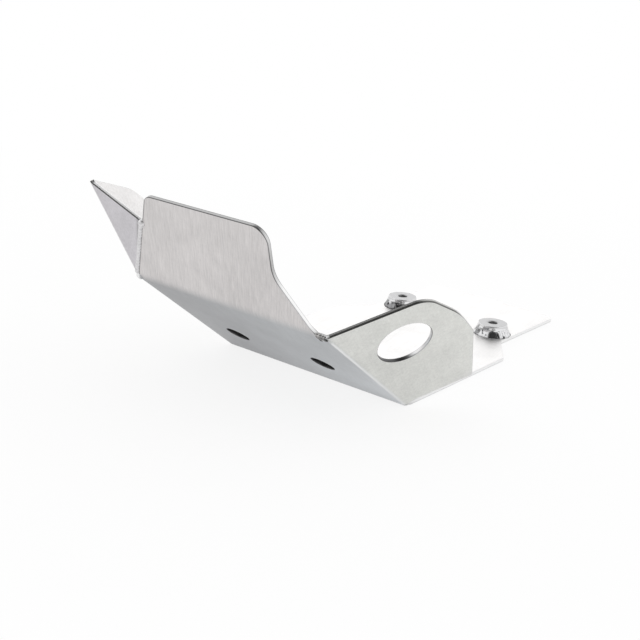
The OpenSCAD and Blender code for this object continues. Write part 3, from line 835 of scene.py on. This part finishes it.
for seed, (name, (turning, seat)) in enumerate(seats.items()):
    places, crest = fillet_grid(14, 440, 1.7 * seed)
    points, faces = ring_skin(places)
    ring = new_piece(name + "_weld_fillet", points @ turning + seat, faces, fillet_finish,
                     marks={"crest": crest.ravel()})
    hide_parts(name + "_cup_weld")


def bead_grid(start, end, out, side, radius, flatness, pitch, rows, columns):
    """A bead of stacked ripples from start to end, as rings around its path.

    The radius is the given one times 0.88 + 0.16 |sin(pi s / pitch)| ** 0.7, where the crests lag
    behind in the middle of the bead, and slow sines make it uneven. Across its face the section
    is an ellipse of the given flatness, and both ends close as half ellipses.
    """
    along = end - start
    length = np.linalg.norm(along)
    u = np.linspace(0, 1, rows)[:, None]
    u = 0.85 * u + 0.15 * (0.5 - 0.5 * np.cos(math.pi * u))
    turn = np.linspace(0, 2 * math.pi, columns, endpoint=False)[None]
    s = u * length
    lag = 0.45 * pitch * np.cos(turn)
    crest = np.abs(np.sin(math.pi * (s + lag) / pitch)) ** 0.7
    ends = np.clip(np.minimum(s, length - s) / (0.8 * radius), 0, 1)
    size = radius * np.sqrt(1 - (1 - ends) ** 2) * (0.88 + 0.16 * crest)
    size = size * (1 + 0.05 * np.sin(s / (4.3 * MM)) + 0.04 * np.sin(s / (1.9 * MM) + 1))
    path = start + u[..., None] * along
    ring = flatness * np.cos(turn)[..., None] * out + np.sin(turn)[..., None] * side
    return path + size[..., None] * ring, crest


def crests(crest):
    """The crest shares of a closed skin's points, with both of its poles on a crest."""
    return np.concatenate([crest[1:-1].ravel(), [1, 1]])


seam = unit(seam_top - corner)
bead_out = unit(front_out + 1.6 * flap_out)
flap_way = unit((seam_side @ seam) * seam - seam_side)
bead_shift = 1.9 * MM * flap_way - 0.2 * MM * bead_out
bead_side = unit(np.cross(seam, bead_out))
bead_start = corner + 3.5 * MM * seam + bead_shift
bead_end = seam_top - 1.5 * MM * seam + bead_shift
long_bead, long_crest = bead_grid(bead_start, bead_end, bead_out, bead_side, 2.1 * MM, 0.75,
                                  3.4 * MM, 260, 28)
end_spot = seam_top - 1.2 * MM * seam + 1.2 * MM * flap_way
end_bead, end_crest = bead_grid(end_spot - 3.4 * MM * seam, end_spot + 2.6 * MM * seam, bead_out,
                                bead_side, 2.9 * MM, 0.8, 2.6 * MM, 60, 28)
points, faces = joined(long_bead, end_bead)
bead_finish = weld_finish("seam_weld_metal", (0.87, 0.86, 0.87, 1), (0.5, 0.5, 0.505, 1), 0.7,
                          0.3, 0.25)
bead = new_piece("flap_weld_bead", points, faces, bead_finish,
                 marks={"crest": np.concatenate([crests(long_crest), crests(end_crest)])})
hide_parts("flap_weld")

# in the relief notch a long blob lies across the slope's cut end and a shorter one below it
slope_end = np.array([0, plate_front, 0]) + slope_length * slope_up - 0.3 * thickness * slope_out
blobs = [bead_grid(slope_end + [86.6 * MM, 0, 0] - 1.2 * MM * slope_up,
                   slope_end + [97.5 * MM, 0, 0] - 2.4 * MM * slope_up,
                   slope_out, slope_up, 2.6 * MM, 0.75, 2.6 * MM, 90, 28),
         bead_grid(slope_end + [88.8 * MM, 0, 0] - 4.2 * MM * slope_up,
                   slope_end + [96.5 * MM, 0, 0] - 4.6 * MM * slope_up,
                   slope_out, slope_up, 1.9 * MM, 0.8, 2.3 * MM, 60, 28)]
points, faces = joined(*[places for places, _ in blobs])
notch_finish = weld_finish("notch_weld_metal", (0.50, 0.49, 0.48, 1), grey(0.04), 0.9,
                           0.12, 0.8)
patch = new_piece("relief_weld_bead", points, faces, notch_finish,
                  marks={"crest": np.concatenate([crests(crest) for _, crest in blobs])})
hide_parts("relief_weld")
